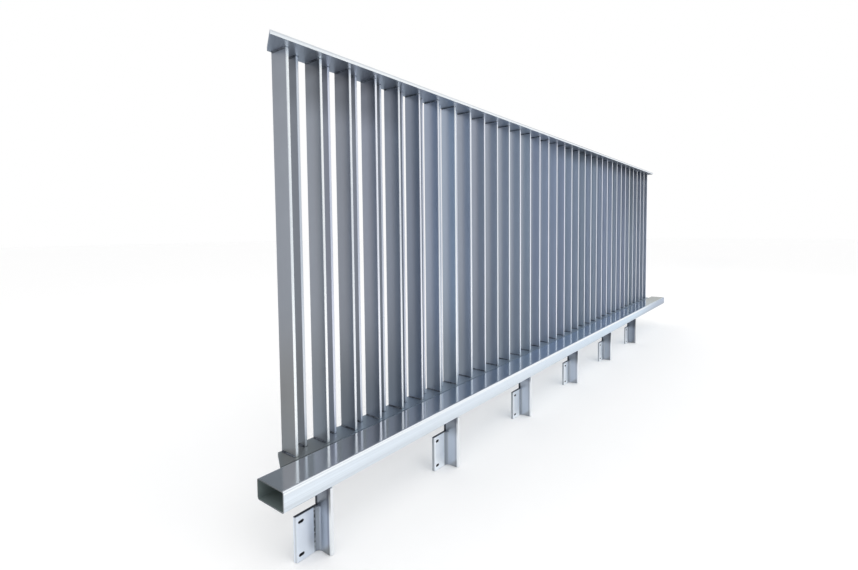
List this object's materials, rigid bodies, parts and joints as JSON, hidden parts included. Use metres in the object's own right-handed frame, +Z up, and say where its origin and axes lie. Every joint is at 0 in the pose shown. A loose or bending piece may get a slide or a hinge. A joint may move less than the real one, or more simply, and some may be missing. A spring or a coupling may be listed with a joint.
{
  "type": "stainless steel balustrade",
  "caption": "Balustrade bay of upright flat bars between two flats, beside a hollow base rail on notched angle brackets with slotted flanges that bolt to a vertical face.",
  "frame": {"origin": "on the back face of the fourth bracket's flange, midway between its two slots", "axes": "+X along the rail, +Y out of the brackets' back faces towards the wall they bolt to, +Z up"},
  "size_m": [3.65, 0.17, 1.225],
  "materials": {
    "rail_steel": "satin mill finish with faint lengthwise lines",
    "flat_steel": "semi-bright mill finish",
    "bracket_steel": "satin mill finish",
    "bar_steel": "semi-bright mill finish"
  },
  "bodies": {
    "root": {"base_rail": "rail_steel", "bottom_flat": "flat_steel", "top_flat": "flat_steel", "bracket_1": "bracket_steel", "bracket_2": "bracket_steel", "bracket_3": "bracket_steel", "bracket_4": "bracket_steel", "bracket_5": "bracket_steel", "bracket_6": "bracket_steel", "deep_bars_1": "bar_steel", "deep_bars_2": "bar_steel", "deep_bars_3": "bar_steel", "deep_bars_4": "bar_steel", "deep_bars_5": "bar_steel", "deep_bars_6": "bar_steel", "deep_bars_7": "bar_steel", "shallow_bars_1": "bar_steel", "shallow_bars_2": "bar_steel", "shallow_bars_3": "bar_steel", "shallow_bars_4": "bar_steel", "shallow_bars_5": "bar_steel", "shallow_bars_6": "bar_steel", "shallow_bars_7": "bar_steel"}
  },
  "joints": []
}
